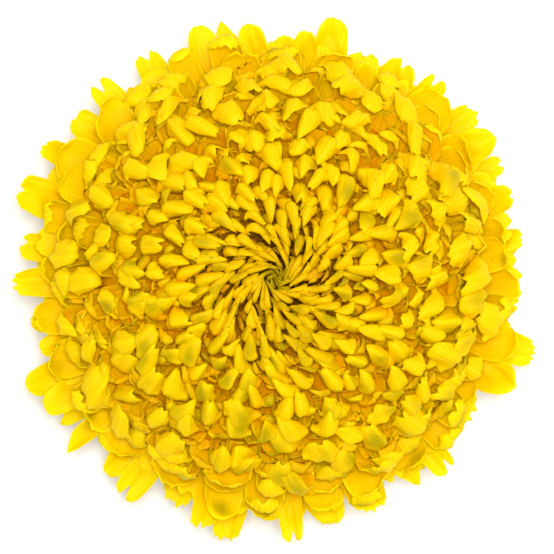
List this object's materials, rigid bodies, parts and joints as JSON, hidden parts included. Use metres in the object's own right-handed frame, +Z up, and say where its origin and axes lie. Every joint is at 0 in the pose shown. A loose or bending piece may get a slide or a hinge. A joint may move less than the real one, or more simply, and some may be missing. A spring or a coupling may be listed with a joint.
{
  "type": "chrysanthemum flower head",
  "caption": "Picked yellow chrysanthemum bloom, fully double and incurved, with its green cup of bracts and a short cut stem, laid face up as decoration",
  "frame": {"origin": "on the surface that the bloom lies on, under the middle of its whole width and depth", "axes": "+Z up, out of the bloom's face and along its own axis; +X to the right and +Y to the top of the picture"},
  "size_m": [0.1321, 0.1324, 0.057],
  "materials": {
    "ray_florets": "soft satin petal",
    "young_florets": "soft satin petal",
    "involucre": "matt downy leaf",
    "stem": "matt downy stem"
  },
  "bodies": {
    "root": {"ray_florets": "ray_florets", "young_florets": "young_florets", "involucre": "involucre", "stem": "stem"}
  },
  "joints": []
}
